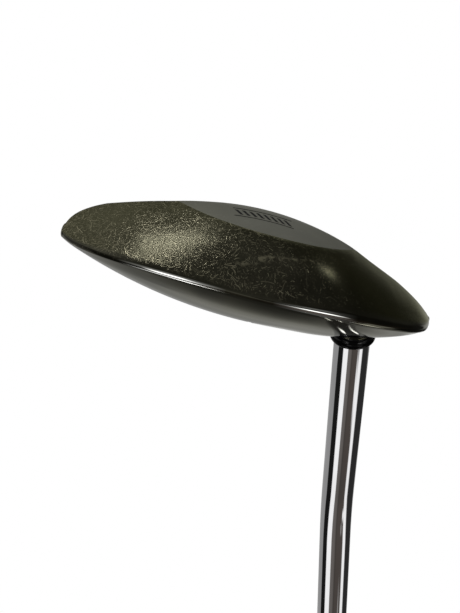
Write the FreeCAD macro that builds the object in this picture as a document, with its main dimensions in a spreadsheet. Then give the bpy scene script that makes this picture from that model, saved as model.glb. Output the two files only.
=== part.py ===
"""A right-handed mallet putter, standing as it is addressed to the ball.

The frame: +Z is up, the striking face looks along -Y, the heel and the player are towards +X, and the origin
is on the ground under the middle of the sole patch. All sizes are in millimetres and angles in degrees.

The head is a half-moon slice lofted through cross-sections from toe to heel. Each cross-section has a flat
stretch of sole, a round belly, a small rounded rim and a crown arc. The steel shaft stands in a blind bore
in the crown, leans towards the player at the lie angle and has one bend that brings it level with the face.
"""
import FreeCAD, Part
import math
import os
import re

import Sketcher

os.makedirs("parts", exist_ok=True)
doc = FreeCAD.newDocument("putter")
Vector = FreeCAD.Vector
Placement = FreeCAD.Placement
Rotation = FreeCAD.Rotation


# The driving dimensions

SIZES = {
    "Head plan": {
        "toe_length": 51.6,
        "heel_length": 49.7,
        "head_depth": 38.8,
        "plan_power_share": 2.65,
        "tip_trim_share": 0.97,
        "corner_radius": 13.0,
        "face_loft_angle": 3.5,
    },
    "Crown": {
        "crown_height": 27.3,
        "crown_cross_radius": 123.0,
        "crown_peak_to_toe": 1.4,
        "crown_profile_radius": 51.2,
        "rim_radius": 1.8,
        "rim_taper_share": 0.5,
        "rim_wall_share": 0.4,
    },
    "Sole and belly": {
        "sole_radius": 74.2,
        "patch_depth": 20.0,
        "patch_toe": 23.6,
        "patch_heel": 25.6,
        "patch_round_share": 0.87,
        "toe_edge_thickness": 5.6,
        "heel_edge_thickness": 3.2,
        "belly_start_angle": 3.8,
        "belly_least_angle": 1.2,
    },
    "Sight line": {
        "sight_width": 1.6,
        "sight_depth": 0.6,
        "sight_length": 17.0,
        "sight_from_face": 6.0,
        "sight_clearance": 0.05,
    },
    "Shaft": {
        "lie_lean_angle": 17.2,
        "offset_bend_angle": 10.9,
        "bend_radius": 100.0,
        "bend_up_shaft": 88.1,
        "shaft_ground_x": 21.4,
        "shaft_behind_face": 2.7,
        "tip_diameter": 9.4,
        "butt_diameter": 14.7,
        "shaft_wall": 0.5,
        "step_count": 13,
        "step_pitch": 25.0,
        "step_length": 2.0,
        "first_step_up_shaft": 262.0,
        "putter_length": 889.0,
    },
    "Hosel": {
        "bore_depth": 13.0,
        "bond_thickness": 0.2,
        "bond_pool": 0.6,
        "bond_clearance": 0.03,
        "ferrule_diameter": 11.9,
        "ferrule_above_crown": 1.5,
        "ferrule_seat_depth": 4.2,
        "ferrule_round": 0.9,
        "ferrule_clearance": 0.1,
    },
    "Grip": {
        "grip_length": 267.0,
        "tape_thickness": 0.2,
        "tape_margin": 6.0,
        "tape_clearance": 0.05,
        "grip_lower_radius": 8.8,
        "grip_mid_radius": 12.4,
        "grip_upper_radius": 14.0,
        "grip_butt_radius": 12.6,
        "grip_lower_flat": 8.3,
        "grip_mid_flat": 10.0,
        "grip_upper_flat": 10.8,
        "grip_butt_flat": 10.4,
        "grip_mid_share": 0.42,
        "grip_upper_share": 0.82,
        "palm_swell": 2.2,
        "grip_corner": 2.4,
        "cap_thickness": 4.0,
        "cap_round": 1.5,
        "vent_diameter": 2.4,
    },
    "All cuts": {
        "cut_overrun": 3.0,
    },
}

sheet = doc.addObject("Spreadsheet::Sheet", "Sizes")
row = 1
for group, cells in SIZES.items():
    sheet.set(f"A{row}", group)
    row += 1
    for alias, amount in cells.items():
        sheet.set(f"A{row}", alias)
        sheet.set(f"B{row}", str(amount))
        sheet.setAlias(f"B{row}", alias)
        row += 1
doc.recompute()


def size(alias):
    """The value of one cell of the sheet."""
    return float(sheet.get(alias))


def keep_size(alias, text):
    """Adds a worked-out size to the sheet, as a number or as a formula of the cells above it."""
    global row
    sheet.set(f"A{row}", alias)
    sheet.set(f"B{row}", str(text))
    sheet.setAlias(f"B{row}", alias)
    ALIASES.add(alias)
    row += 1
    doc.recompute()


def on_sheet(formula):
    """A formula in which each alias is a reference to the sheet."""
    return re.sub(r"[a-z_]+", lambda word: f"Sizes.{word[0]}" if word[0] in ALIASES else word[0], formula)


def bind(target, **formulas):
    """Binds properties to formulas of the sheet; a double underscore in a name stands for a dot."""
    for name, formula in formulas.items():
        target.setExpression(name.replace("__", "."), on_sheet(formula))


ALIASES = {alias for cells in SIZES.values() for alias in cells}


# The head's cross-sections

def half_length(x):
    """The head's length from the middle of the sole to the toe or to the heel."""
    return size("toe_length") if x < 0 else size("heel_length")


def patch_half_width(x):
    """How far the sole patch reaches towards the toe or the heel."""
    return size("patch_toe") if x < 0 else size("patch_heel")


def sole_height(x):
    """The cambered sole's height over the ground."""
    radius = size("sole_radius")
    return radius - math.sqrt(radius**2 - x**2)


def crown_edge(x):
    """The height of the crown over the face plane."""
    radius = size("crown_cross_radius")
    away = x + size("crown_peak_to_toe")
    return size("crown_height") - radius + math.sqrt(radius**2 - away**2)


def lower_edge(x):
    """The height of the face's lower edge: the sole's camber, then a straight rise to a thin tip under the crown."""
    reach = patch_half_width(x)
    if abs(x) <= reach:
        return sole_height(x)
    tip = half_length(x) * size("tip_trim_share")
    thickness = size("toe_edge_thickness") if x < 0 else size("heel_edge_thickness")
    tip_height = crown_edge(math.copysign(tip, x)) - thickness
    share = (abs(x) - reach) / (tip - reach)
    return sole_height(reach) + share * (tip_height - sole_height(reach))


def rim_depth(x):
    """How far behind the face plane the sharp rim would lie, the outline of the half-moon."""
    power = size("plan_power_share")
    share = abs(x) / half_length(x)
    return size("head_depth") * (1 - share**power) ** (1 / power)


def patch_back(x):
    """How far behind the face plane the sole patch ends."""
    share = abs(x) / patch_half_width(x)
    flat = size("patch_round_share")
    return size("patch_depth") * max(1 - flat * share**2 - (1 - flat) * share**4, 0)


def circles_meet(first, first_radius, second, second_radius, near):
    """The crossing of two circles, as (y, z), that lies nearer to a given point."""
    gap = math.dist(first, second)
    along = (first_radius**2 - second_radius**2 + gap**2) / (2 * gap)
    across = math.sqrt(max(first_radius**2 - along**2, 0))
    uy = (second[0] - first[0]) / gap
    uz = (second[1] - first[1]) / gap
    foot = (first[0] + along * uy, first[1] + along * uz)
    crossings = [(foot[0] + side * across * uz, foot[1] - side * across * uy) for side in (1, -1)]
    return min(crossings, key=lambda point: math.dist(point, near))


def on_circle(centre, radius, towards):
    """The point of a circle on the ray from its centre towards another point."""
    gap = math.dist(centre, towards)
    return tuple(c + radius * (t - c) / gap for c, t in zip(centre, towards))


def arc(x, centre, radius, start, end):
    """A circular edge in the plane of one cross-section."""
    middle = ((start[0] + end[0]) / 2, (start[1] + end[1]) / 2)
    middle = on_circle(centre, radius, middle)
    points = [Vector(x, *point) for point in (start, middle, end)]
    return Part.Arc(*points).toShape()


def head_section(x):
    """One closed cross-section of the head, square to the heel-toe direction."""
    front = -size("cut_overrun")
    start = (patch_back(x), lower_edge(x))
    crown_radius = size("crown_profile_radius")
    crown_centre = (0, crown_edge(x) - crown_radius)
    back = rim_depth(x)
    rim = (back, crown_centre[1] + math.sqrt(crown_radius**2 - back**2))

    # The belly starts at a small angle from the sole and curves up to the rim.
    chord = math.dist(start, rim)
    chord_angle = math.atan2(rim[1] - start[1], rim[0] - start[0])
    turn = max(chord_angle - math.radians(size("belly_start_angle")), math.radians(size("belly_least_angle")))
    belly_radius = chord / (2 * math.sin(turn))
    slope = chord_angle - turn
    belly_centre = (start[0] - belly_radius * math.sin(slope), start[1] + belly_radius * math.cos(slope))

    # The rim is a small arc inside the corner of the belly and the crown, tighter towards the thin tips.
    share = abs(x) / half_length(x)
    wall = crown_edge(x) - lower_edge(x)
    rim_radius = min(size("rim_radius") * (1 - size("rim_taper_share") * share**2), size("rim_wall_share") * wall)
    inner_belly = belly_radius - rim_radius
    inner_crown = crown_radius - rim_radius
    rim_centre = circles_meet(belly_centre, inner_belly, crown_centre, inner_crown, rim)
    belly_end = on_circle(belly_centre, belly_radius, rim_centre)
    crown_end = on_circle(crown_centre, crown_radius, rim_centre)

    drop = 0 if abs(x) < patch_half_width(x) else front * math.tan(slope)
    low_front = (front, start[1] + drop)
    top_front = (front, crown_centre[1] + math.sqrt(crown_radius**2 - front**2))
    edges = [
        Part.makeLine(Vector(x, *low_front), Vector(x, *start)),
        arc(x, belly_centre, belly_radius, start, belly_end),
        arc(x, rim_centre, rim_radius, belly_end, crown_end),
        arc(x, crown_centre, crown_radius, crown_end, top_front),
        Part.makeLine(Vector(x, *top_front), Vector(x, *low_front)),
    ]
    return Part.Wire(edges)


# The places of the cross-sections: shares of the patch's half width, then of the rest of the half length.
PATCH_SHARES = (0.3, 0.6, 0.84, 1.0)
WING_SHARES = (0.16, 0.38, 0.6, 0.8, 0.92, 1.0)


def stations():
    """Where the cross-sections stand, from toe to heel."""
    places = [0.0]
    for side in (-1, 1):
        reach = patch_half_width(side)
        tip = half_length(side) * size("tip_trim_share")
        places += [side * share * reach for share in PATCH_SHARES]
        places += [side * (reach + share * (tip - reach)) for share in WING_SHARES]
    return sorted(places)


hull = doc.addObject("Part::Feature", "HeadHull")
hull.Shape = Part.makeLoft([head_section(x) for x in stations()], True, False)


# Shared makers

def add(kind, name, **formulas):
    """A new object of the document with its sizes bound to the sheet."""
    thing = doc.addObject(kind, name)
    bind(thing, **formulas)
    return thing


def cut(name, base, *tools):
    """The base with each tool taken away in turn."""
    for number, tool in enumerate(tools, 1):
        step = doc.addObject("Part::Cut", f"{name}Cut{number}")
        step.Base = base
        step.Tool = tool
        base = step
    return base


def origin_plane(body, role):
    """One of a body's own origin planes."""
    return next(plane for plane in body.Origin.OriginFeatures if plane.Role == role)


def new_body(label):
    body = doc.addObject("PartDesign::Body", label)
    body.Label = label
    return body


def new_sketch(body, name, role, offset=None):
    """A sketch on one of the body's origin planes, moved out along its normal by a formula."""
    sketch = body.newObject("Sketcher::SketchObject", name)
    sketch.AttachmentSupport = (origin_plane(body, role), [""])
    sketch.MapMode = "FlatFace"
    if offset:
        bind(sketch, AttachmentOffset__Base__z=offset)
    return sketch


def pin_point(sketch, edge, point, across, up):
    """Holds a point of a sketch at two formulas of the sheet.

    The sketch's origin is point 1 of edge -1, and points 1, 2 and 3 of an edge are its start, end and centre.
    """
    for kind, formula in (("DistanceX", across), ("DistanceY", up)):
        index = sketch.addConstraint(Sketcher.Constraint(kind, -1, 1, edge, point, value_of(formula)))
        sketch.setExpression(f"Constraints[{index}]", on_sheet(formula))


def set_radius(sketch, edge, formula):
    index = sketch.addConstraint(Sketcher.Constraint("Radius", edge, value_of(formula)))
    sketch.setExpression(f"Constraints[{index}]", on_sheet(formula))


def value_of(formula):
    """What a formula of the sheet comes to."""
    return float(sheet.evalExpression(formula))


def outline(sketch, corners):
    """A closed outline of straight lines with each corner pinned to a pair of formulas."""
    points = [Vector(value_of(across), value_of(up), 0) for across, up in corners]
    lines = []
    for start, end in zip(points, points[1:] + points[:1]):
        lines.append(sketch.addGeometry(Part.LineSegment(start, end), False))
    for line, following in zip(lines, lines[1:] + lines[:1]):
        sketch.addConstraint(Sketcher.Constraint("Coincident", line, 2, following, 1))
    for line, (across, up) in zip(lines, corners):
        pin_point(sketch, line, 1, across, up)


# Where the shaft stands

FACE_BACK = "-patch_depth / 2"


def shaft_frame():
    """The upper shaft's own frame, in head coordinates: +Z up the shaft from the ground, flat side to the toe."""
    foot = Vector(size("shaft_ground_x"), size("shaft_behind_face"), 0)
    return Placement(foot, Rotation(Vector(0, 1, 0), size("lie_lean_angle")))


def leg_frame():
    """The frame at the bend, with +Z up along the shaft's lower leg."""
    bend = Placement(Vector(0, 0, size("bend_up_shaft")), Rotation(Vector(1, 0, 0), size("offset_bend_angle")))
    return shaft_frame() * bend


def down_leg(distance):
    """The frame on the lower leg at a distance below the bend."""
    return leg_frame() * Placement(Vector(0, 0, -distance), Rotation())


def leg_to_crown():
    """How far below the bend the leg's axis meets the crown."""
    bend = leg_frame().Base
    inside = hull.Shape.common(Part.makeLine(bend, down_leg(size("bend_up_shaft")).Base))
    return min(bend.distanceToPoint(vertex.Point) for vertex in inside.Vertexes)


keep_size("leg_length", leg_to_crown())


# The head: the hull, less what the lofted face takes off, its rounded corners, the bore and the sight line's groove

def corner_cutter(name, tip, inward):
    """What lies outside the rounded corner of the plan at one tip; inward is 1 at the toe and -1 at the heel."""
    block = add("Part::Box", name + "Block", Length="corner_radius + cut_overrun", Width="corner_radius + cut_overrun",
                Height="crown_height + 2 * cut_overrun", Placement__Base__y="-cut_overrun",
                Placement__Base__z="-cut_overrun")
    edge = "cut_overrun" if inward > 0 else "corner_radius"
    bind(block, Placement__Base__x=f"{tip} - {edge}")
    round_bar = add("Part::Cylinder", name + "Round", Radius="corner_radius",
                    Height="crown_height + 4 * cut_overrun", Placement__Base__x=f"{tip} + {inward} * corner_radius",
                    Placement__Base__y="corner_radius", Placement__Base__z="-2 * cut_overrun")
    return cut(name, block, round_bar)


toe_corner = corner_cutter("ToeCorner", "-toe_length * tip_trim_share", 1)
heel_corner = corner_cutter("HeelCorner", "heel_length * tip_trim_share", -1)

# A block whose back side is the striking face, leaning back by the loft.
face_block = add("Part::Box", "FaceBlock", Length="toe_length + heel_length", Width="2 * cut_overrun",
                 Height="crown_height + 2 * cut_overrun")
face_block.Placement.Rotation = Rotation(Vector(1, 0, 0), -size("face_loft_angle"))
bind(face_block, Placement__Rotation__Angle="-face_loft_angle", Placement__Base__x="-toe_length",
     Placement__Base__y="-cut_overrun * (2 * cos(face_loft_angle) + sin(face_loft_angle))",
     Placement__Base__z="cut_overrun * (2 * sin(face_loft_angle) - cos(face_loft_angle))")


def leg_cylinder(name, radius, height, depth):
    """A cylinder along the lower leg whose lower end lies at a depth below the crown."""
    cylinder = add("Part::Cylinder", name, Radius=radius, Height=height)
    cylinder.Placement = down_leg(value_of(f"leg_length + {depth}"))
    return cylinder


BORE_RADIUS = "tip_diameter / 2 + bond_thickness"
bore = leg_cylinder("Bore", BORE_RADIUS, "bore_depth + 2 * ferrule_diameter", "bore_depth")
seat_radius = "ferrule_diameter / 2 + ferrule_clearance"
ferrule_bore = leg_cylinder("FerruleBore", seat_radius, "ferrule_seat_depth + 2 * ferrule_diameter",
                            "ferrule_seat_depth")


def crown_band(name, outer, inner, width, length):
    """A curved strip that follows the crown from front to back, between two radii of the crown's profile."""
    strips = [add("Part::Cylinder", name + label, Radius=radius, Height=width,
                  Placement__Base__x=f"-({width}) / 2", Placement__Base__z="crown_height - crown_profile_radius")
              for label, radius in (("Outer", outer), ("Inner", inner))]
    for strip in strips:
        strip.Placement.Rotation = Rotation(Vector(0, 1, 0), 90)
    ring = cut(name + "Ring", *strips)
    window = add("Part::Box", name + "Window", Length=width, Width=length, Height="crown_height",
                 Placement__Base__x=f"-({width}) / 2", Placement__Base__z="cut_overrun",
                 Placement__Base__y=f"sight_from_face + (sight_length - ({length})) / 2")
    return add_common(name, ring, window)


def add_common(name, first, second):
    """What two shapes share."""
    common = doc.addObject("Part::Common", name)
    common.Base = first
    common.Tool = second
    return common


sight_groove = crown_band("SightGroove", "crown_profile_radius + cut_overrun", "crown_profile_radius - sight_depth",
                          "sight_width", "sight_length")
head_body = cut("Head", hull, face_block, toe_corner, heel_corner, bore, ferrule_bore, sight_groove)
head_body.Label = "head_body"
bind(head_body, Placement__Base__y=FACE_BACK)

# The paint in the sight line lies a little below the crown and inside the groove's walls.
sight_paint = crown_band("SightPaint", "crown_profile_radius - sight_clearance", "crown_profile_radius - sight_depth",
                         "sight_width - 2 * sight_clearance", "sight_length - 2 * sight_clearance")
sight_paint.Label = "sight_line_paint"
bind(sight_paint, Placement__Base__y=FACE_BACK)


# The cured adhesive: a cup round the shaft's tip, with a pool under it

def shift_back(placement):
    """A placement in head coordinates, moved into the frame of the whole putter."""
    return Placement(Vector(0, value_of(FACE_BACK), 0), Rotation()) * placement


bond_outer = add("Part::Cylinder", "BondOuter", Radius=f"{BORE_RADIUS} - bond_clearance",
                 Height="bore_depth - ferrule_seat_depth")
bond_inner = add("Part::Cylinder", "BondInner", Radius="tip_diameter / 2 + bond_clearance", Height="bore_depth",
                 Placement__Base__z="bond_pool")
hosel_bond = cut("Bond", bond_outer, bond_inner)
hosel_bond.Label = "hosel_adhesive"
hosel_bond.Placement = shift_back(down_leg(value_of("leg_length + bore_depth")))


# The ferrule: a black ring round the shaft, seated in the crown

ferrule = new_body("ferrule")
profile = new_sketch(ferrule, "FerruleProfile", "XZ_Plane")
FERRULE_INNER = "tip_diameter / 2 + ferrule_clearance"
FERRULE_OUTER = "ferrule_diameter / 2"
FERRULE_TOP = "ferrule_seat_depth + ferrule_above_crown"
outline(profile, [
    (FERRULE_INNER, "0"),
    (FERRULE_OUTER, "0"),
    (FERRULE_OUTER, f"{FERRULE_TOP} - ferrule_round"),
    (f"{FERRULE_OUTER} - ferrule_round / 3", f"{FERRULE_TOP} - ferrule_round / 3"),
    (f"{FERRULE_OUTER} - ferrule_round", FERRULE_TOP),
    (FERRULE_INNER, FERRULE_TOP),
])
turned = ferrule.newObject("PartDesign::Revolution", "FerruleTurned")
turned.Profile = profile
turned.ReferenceAxis = (profile, ["V_Axis"])
turned.Angle = 360
ferrule.Placement = shift_back(down_leg(value_of("leg_length + ferrule_seat_depth")))


# The shaft: a bent lower leg and a stepped straight tube, in one piece

shaft = new_body("shaft")
shaft.Placement = shift_back(shaft_frame())
BEND_TANGENT = "bend_radius * tan(offset_bend_angle / 2)"
BEND_TOP = f"bend_up_shaft + {BEND_TANGENT}"

steps = range(int(size("step_count")))
OUTER_RADIUS = "tip_diameter / 2"
STEP_RISE = "(butt_diameter - tip_diameter) / (2 * step_count)"
outer = [(OUTER_RADIUS, BEND_TOP)]
for step in steps:
    low = f"first_step_up_shaft + {step} * step_pitch"
    outer.append((f"{OUTER_RADIUS} + {step} * {STEP_RISE}", low))
    outer.append((f"{OUTER_RADIUS} + {step + 1} * {STEP_RISE}", f"{low} + step_length"))
outer.append(("butt_diameter / 2", "putter_length - cap_thickness"))
inner = [(f"{radius} - shaft_wall", height) for radius, height in reversed(outer)]

tube_sketch = new_sketch(shaft, "TubeProfile", "YZ_Plane")
outline(tube_sketch, outer + inner)
tube = shaft.newObject("PartDesign::Revolution", "SteppedTube")
tube.Profile = tube_sketch
tube.ReferenceAxis = (tube_sketch, ["V_Axis"])
tube.Angle = 360

ring_sketch = new_sketch(shaft, "LegSection", "XY_Plane", BEND_TOP)
for radius in (OUTER_RADIUS, f"{OUTER_RADIUS} - shaft_wall"):
    circle = ring_sketch.addGeometry(Part.Circle(Vector(), Vector(0, 0, 1), value_of(radius)), False)
    ring_sketch.addConstraint(Sketcher.Constraint("Coincident", circle, 3, -1, 1))
    set_radius(ring_sketch, circle, radius)

# The leg's path runs down from the top of the bend: an arc, then a straight run into the bore.
path = new_sketch(shaft, "LegPath", "YZ_Plane")
ARC_END = ("bend_radius * (1 - cos(offset_bend_angle))", f"{BEND_TOP} - bend_radius * sin(offset_bend_angle)")
LEG_REACH = "(leg_length + bore_depth - bond_pool)"
LEG_END = (f"{LEG_REACH} * sin(offset_bend_angle)", f"bend_up_shaft - {LEG_REACH} * cos(offset_bend_angle)")
arc_end = Vector(value_of(ARC_END[0]), value_of(ARC_END[1]), 0)
leg_end = Vector(value_of(LEG_END[0]), value_of(LEG_END[1]), 0)
arc_centre = Vector(size("bend_radius"), value_of(BEND_TOP), 0)
bend_circle = Part.Circle(arc_centre, Vector(0, 0, 1), size("bend_radius"))
bend_arc = path.addGeometry(Part.ArcOfCircle(bend_circle, math.pi, math.pi + math.radians(size("offset_bend_angle"))))
leg_line = path.addGeometry(Part.LineSegment(arc_end, leg_end))
pin_point(path, bend_arc, 3, "bend_radius", BEND_TOP)
pin_point(path, bend_arc, 1, "0", BEND_TOP)
pin_point(path, leg_line, 2, *LEG_END)
path.addConstraint(Sketcher.Constraint("Tangent", bend_arc, 2, leg_line, 1))
leg = shaft.newObject("PartDesign::AdditivePipe", "BentLeg")
leg.Profile = ring_sketch
leg.Spine = (path, ["Edge1", "Edge2"])


# The grip: tape round the butt, a rubber sleeve with a flat side, and a cap

GRIP_FOOT = "putter_length - grip_length"
GRIP_TOP = "putter_length - cap_thickness"

TAPE_INNER = "butt_diameter / 2 + tape_clearance"
GRIP_BORE = f"{TAPE_INNER} + tape_thickness + tape_clearance"

tape_outer = add("Part::Cylinder", "TapeOuter", Radius=f"{TAPE_INNER} + tape_thickness",
                 Height="grip_length - cap_thickness - 2 * tape_margin",
                 Placement__Base__z=f"{GRIP_FOOT} + tape_margin")
tape_inner = add("Part::Cylinder", "TapeInner", Radius=TAPE_INNER, Height="grip_length",
                 Placement__Base__z=GRIP_FOOT)
grip_tape = cut("Tape", tape_outer, tape_inner)
grip_tape.Label = "grip_tape"
grip_tape.Placement = shift_back(shaft_frame())


def flat_sided_section(sketch, radius, flat, swell):
    """A circle with one flat side towards the toe and round corners, its centre moved into the palm by the swell."""
    centre = Vector(value_of(swell), 0, 0)
    corner = size("grip_corner")
    reach = value_of(f"{flat} + {swell}") - corner
    across = math.sqrt((value_of(radius) - corner) ** 2 - reach**2)
    turn = math.acos(-reach / (value_of(radius) - corner))
    up = Vector(0, 0, 1)
    flat_x = -value_of(flat)
    big_circle = Part.Circle(centre, up, value_of(radius))
    far_corner = Part.Circle(Vector(flat_x + corner, across, 0), up, corner)
    near_corner = Part.Circle(Vector(flat_x + corner, -across, 0), up, corner)
    palm = sketch.addGeometry(Part.ArcOfCircle(big_circle, -turn, turn), False)
    far = sketch.addGeometry(Part.ArcOfCircle(far_corner, turn, math.pi), False)
    front_line = Part.LineSegment(Vector(flat_x, across, 0), Vector(flat_x, -across, 0))
    front = sketch.addGeometry(front_line, False)
    near = sketch.addGeometry(Part.ArcOfCircle(near_corner, math.pi, math.tau - turn), False)
    edges = (palm, far, front, near)
    for edge, following in zip(edges, edges[1:] + edges[:1]):
        sketch.addConstraint(Sketcher.Constraint("Tangent", edge, 2, following, 1))
    pin_point(sketch, palm, 3, swell, "0")
    set_radius(sketch, palm, radius)
    set_radius(sketch, far, "grip_corner")
    set_radius(sketch, near, "grip_corner")
    index = sketch.addConstraint(Sketcher.Constraint("DistanceX", front, 1, -1, 1, value_of(flat)))
    sketch.setExpression(f"Constraints[{index}]", on_sheet(flat))
    sketch.addConstraint(Sketcher.Constraint("Vertical", front))


BUTT_SWELL = "palm_swell / 3"

# Each section: its name, how far up the grip it stands, its radius, its flat and its swell into the palm.
GRIP_SECTIONS = (
    ("Lower", "0", "grip_lower_radius", "grip_lower_flat", "0"),
    ("Mid", "grip_mid_share", "grip_mid_radius", "grip_mid_flat", "0"),
    ("Upper", "grip_upper_share", "grip_upper_radius", "grip_upper_flat", "palm_swell"),
    ("Butt", "1", "grip_butt_radius", "grip_butt_flat", BUTT_SWELL),
)


grip_sleeve = new_body("grip_sleeve")
grip_sketches = []
for name, up_share, radius, flat, swell in GRIP_SECTIONS:
    height = f"{GRIP_FOOT} + {up_share} * (grip_length - cap_thickness)"
    sketch = new_sketch(grip_sleeve, f"Grip{name}", "XY_Plane", height)
    flat_sided_section(sketch, radius, flat, swell)
    grip_sketches.append(sketch)
grip_loft = grip_sleeve.newObject("PartDesign::AdditiveLoft", "GripLoft")
grip_loft.Profile = grip_sketches[0]
grip_loft.Sections = grip_sketches[1:]
bore_sketch = new_sketch(grip_sleeve, "GripBore", "XY_Plane", GRIP_TOP)
bore_circle = bore_sketch.addGeometry(Part.Circle(Vector(), Vector(0, 0, 1), value_of(GRIP_BORE)), False)
bore_sketch.addConstraint(Sketcher.Constraint("Coincident", bore_circle, 3, -1, 1))
set_radius(bore_sketch, bore_circle, GRIP_BORE)
grip_bore = grip_sleeve.newObject("PartDesign::Pocket", "ShaftBore")
grip_bore.Profile = bore_sketch
grip_bore.Type = "ThroughAll"
grip_sleeve.Placement = shift_back(shaft_frame())

grip_cap = new_body("grip_cap")
cap_sketch = new_sketch(grip_cap, "CapOutline", "XY_Plane", GRIP_TOP)
flat_sided_section(cap_sketch, "grip_butt_radius", "grip_butt_flat", BUTT_SWELL)
cap_pad = grip_cap.newObject("PartDesign::Pad", "CapPlate")
cap_pad.Profile = cap_sketch
bind(cap_pad, Length="cap_thickness")
doc.recompute()
cap_middle = value_of("putter_length - cap_thickness / 2")
cap_edges = enumerate(cap_pad.Shape.Edges, 1)
cap_rim = grip_cap.newObject("PartDesign::Fillet", "CapRim")
cap_rim.Base = (cap_pad, [f"Edge{number}" for number, edge in cap_edges if edge.BoundBox.ZMin > cap_middle])
bind(cap_rim, Radius="cap_round")
vent_sketch = new_sketch(grip_cap, "VentOutline", "XY_Plane", "putter_length")
vent_circle = vent_sketch.addGeometry(Part.Circle(Vector(), Vector(0, 0, 1), size("vent_diameter") / 2), False)
vent_sketch.addConstraint(Sketcher.Constraint("Coincident", vent_circle, 3, -1, 1))
set_radius(vent_sketch, vent_circle, "vent_diameter / 2")
vent = grip_cap.newObject("PartDesign::Pocket", "VentHole")
vent.Profile = vent_sketch
vent.Type = "ThroughAll"
grip_cap.Placement = shift_back(shaft_frame())
doc.recompute()


NODES = (head_body, sight_paint, hosel_bond, ferrule, shaft, grip_tape, grip_sleeve, grip_cap)


# Every object has to be sound before any file is written

doc.recompute()
for thing in doc.Objects:
    if "Invalid" in thing.State or "Error" in thing.State:
        raise RuntimeError(f"{thing.Name} failed: {thing.State}")
for node in NODES:
    if node.Shape.isNull() or not node.Shape.isValid():
        raise RuntimeError(f"{node.Label} has no valid shape")

for node in NODES:
    node.Shape.exportStep(f"parts/{node.Label}.step")
    box = node.Shape.optimalBoundingBox()
    print(f"{node.Label}: {len(node.Shape.Solids)} solid, {node.Shape.Volume:.0f} mm3,",
          f"x {box.XMin:.1f}..{box.XMax:.1f}, y {box.YMin:.1f}..{box.YMax:.1f}, z {box.ZMin:.1f}..{box.ZMax:.1f}")
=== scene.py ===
"""A mallet putter on a pale floor, seen from under its sole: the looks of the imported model."""
import math

import bmesh
import bpy
from mathutils import Euler, Matrix, Vector


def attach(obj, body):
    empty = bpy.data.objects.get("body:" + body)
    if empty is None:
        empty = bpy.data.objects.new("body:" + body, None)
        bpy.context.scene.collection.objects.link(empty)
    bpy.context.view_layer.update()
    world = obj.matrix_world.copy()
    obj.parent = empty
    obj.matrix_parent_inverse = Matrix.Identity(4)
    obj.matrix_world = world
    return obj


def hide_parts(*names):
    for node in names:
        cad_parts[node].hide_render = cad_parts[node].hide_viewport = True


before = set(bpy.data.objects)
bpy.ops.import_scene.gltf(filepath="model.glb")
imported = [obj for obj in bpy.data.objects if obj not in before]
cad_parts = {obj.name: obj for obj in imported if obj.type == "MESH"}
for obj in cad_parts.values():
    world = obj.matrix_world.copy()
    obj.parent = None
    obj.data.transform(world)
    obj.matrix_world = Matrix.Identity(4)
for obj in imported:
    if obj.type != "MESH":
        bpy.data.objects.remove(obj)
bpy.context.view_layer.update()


# The head is one piece of steel, milled to a half-moon and plated a dark olive. Play has covered its belly
# with fine pale scratches, while the sole patch that stands on the ground stays a smooth satin grey.

# Sizes are in millimetres. Depths are counted back from the face's foot, which stands ahead of the origin.
MM = 0.001
GROUND_BACK = -10.0
TOE_LENGTH = 51.6
HEEL_LENGTH = 49.7
HEAD_DEPTH = 38.8
PLAN_POWER = 2.65
TIP_SHARE = 0.97
CORNER_RADIUS = 13.0
LOFT = math.radians(3.5)
CROWN_HEIGHT = 27.3
CROWN_CROSS_RADIUS = 123.0
CROWN_PEAK_TO_TOE = 1.4
CROWN_PROFILE_RADIUS = 51.2
TOE_RIM_RADIUS = 0.75
HEEL_RIM_RADIUS = 1.5
RIM_CHANGE = (-15, 20)
RIM_TAPER = 0.4
SOLE_RADIUS = 74.2
PATCH_DEPTH = 20.0
PATCH_TOE = 23.6
PATCH_HEEL = 25.6
PATCH_ROUND = 0.87
TOE_EDGE = 5.6
HEEL_EDGE = 3.2
BELLY_START = math.radians(3.8)
BELLY_LEAST = math.radians(1.2)
EASING = 5.0
PATCH_FADE = 0.12
FIT_ROUNDS = 4

# How many steps each stretch of a cross-section takes, in order round it.
PATCH_STEPS = 8
BELLY_STEPS = 44
RIM_STEPS = 8
CROWN_STEPS = 34
FACE_STEPS = 12
FIRST_BELLY = PATCH_STEPS
FIRST_RIM = FIRST_BELLY + BELLY_STEPS
FIRST_CROWN = FIRST_RIM + RIM_STEPS
FIRST_FACE = FIRST_CROWN + CROWN_STEPS


def crown_edge(x):
    """How high the crown is over the face plane."""
    return CROWN_HEIGHT - CROWN_CROSS_RADIUS + math.sqrt(CROWN_CROSS_RADIUS**2 - (x + CROWN_PEAK_TO_TOE) ** 2)


def sole_height(x):
    """How far the sole's camber has risen from the ground."""
    return SOLE_RADIUS - math.sqrt(SOLE_RADIUS**2 - x**2)


def eased(value, low, high):
    """Zero below low, one above high and an even S between them."""
    share = min(max((value - low) / (high - low), 0), 1)
    return share * share * (3 - 2 * share)


def lower_edge(x):
    """The face's lower edge: the sole's camber, which eases into a straight rise to the thin tip."""
    reach = PATCH_TOE if x < 0 else PATCH_HEEL
    tip = TIP_SHARE * (TOE_LENGTH if x < 0 else HEEL_LENGTH)
    tip_height = crown_edge(math.copysign(tip, x)) - (TOE_EDGE if x < 0 else HEEL_EDGE)
    rise = sole_height(reach) + (abs(x) - reach) / (tip - reach) * (tip_height - sole_height(reach))
    share = eased(abs(x), reach - EASING, reach + EASING)
    return (1 - share) * sole_height(x) + share * rise


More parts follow.
